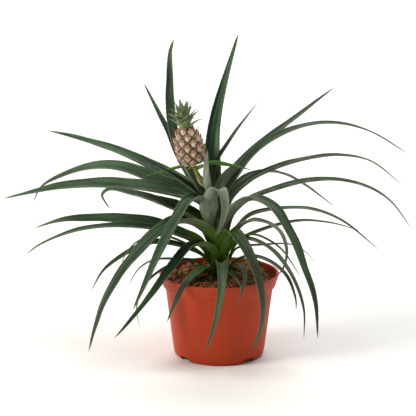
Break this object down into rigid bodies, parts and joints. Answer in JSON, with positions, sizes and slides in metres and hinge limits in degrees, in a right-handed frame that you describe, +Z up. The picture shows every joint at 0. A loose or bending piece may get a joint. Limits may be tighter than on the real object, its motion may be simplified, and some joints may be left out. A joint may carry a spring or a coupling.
{
  "type": "potted pineapple plant",
  "caption": "Pineapple plant with arching gutter-shaped strap leaves and a small crowned fruit on a stalk, standing in soil in a round plastic nursery pot",
  "frame": {"origin": "centre of the pot's foot, on the surface that it stands on", "axes": "+Z up along the pot's axis, -Y to the front, the side that the stout arching leaves hang over, +X to the right seen from the front"},
  "size_m": [0.4113, 0.2508, 0.3139],
  "materials": {
    "pot": "satin moulded plastic, terracotta orange",
    "soil": "loose crumbly coir and peat, dark brown, matte",
    "stem": "living plant tissue, yellow green, satin",
    "leaf": "living leaf, dark grey green with a waxy bloom, satin",
    "stalk": "living plant tissue, light green, satin",
    "fruit": "pink-brown fruit skin with papery bracts, satin",
    "crown": "small stiff leaves, grey green, satin"
  },
  "bodies": {
    "root": {"fruit": "fruit", "fruit_crown": "crown", "fruit_stalk": "stalk", "leaf_back_a": "leaf", "leaf_back_b": "leaf", "leaf_back_c": "leaf", "leaf_back_left_mid": "leaf", "leaf_back_left_up": "leaf", "leaf_back_right_low": "leaf", "leaf_back_right_thin": "leaf", "leaf_back_right_up": "leaf", "leaf_front_centre": "leaf", "leaf_front_left_big": "leaf", "leaf_front_left_high": "leaf", "leaf_front_left_low": "leaf", "leaf_front_left_rim": "leaf", "leaf_front_right_arch": "leaf", "leaf_front_right_big": "leaf", "leaf_front_right_curl": "leaf", "leaf_front_right_dry": "leaf", "leaf_front_right_hook": "leaf", "leaf_front_right_low": "leaf", "leaf_front_right_rim": "leaf", "leaf_front_right_wisp": "leaf", "leaf_heart": "leaf", "leaf_inner_fold": "leaf", "leaf_left_curl": "leaf", "leaf_left_dry_drop": "leaf", "leaf_left_dry_over": "leaf", "leaf_left_long": "leaf", "leaf_left_low_arch": "leaf", "leaf_left_low_dark": "leaf", "leaf_left_low_long": "leaf", "leaf_left_stub": "leaf", "leaf_left_top": "leaf", "leaf_left_upper": "leaf", "leaf_left_wisp": "leaf", "leaf_pot_left": "leaf", "leaf_pot_right": "leaf", "leaf_right_high": "leaf", "leaf_right_long": "leaf", "leaf_right_low_long": "leaf", "leaf_right_mid": "leaf", "leaf_right_up": "leaf", "leaf_right_wisp_high": "leaf", "leaf_right_wisp_low": "leaf", "pot": "pot", "soil": "soil", "stem": "stem"}
  },
  "joints": []
}
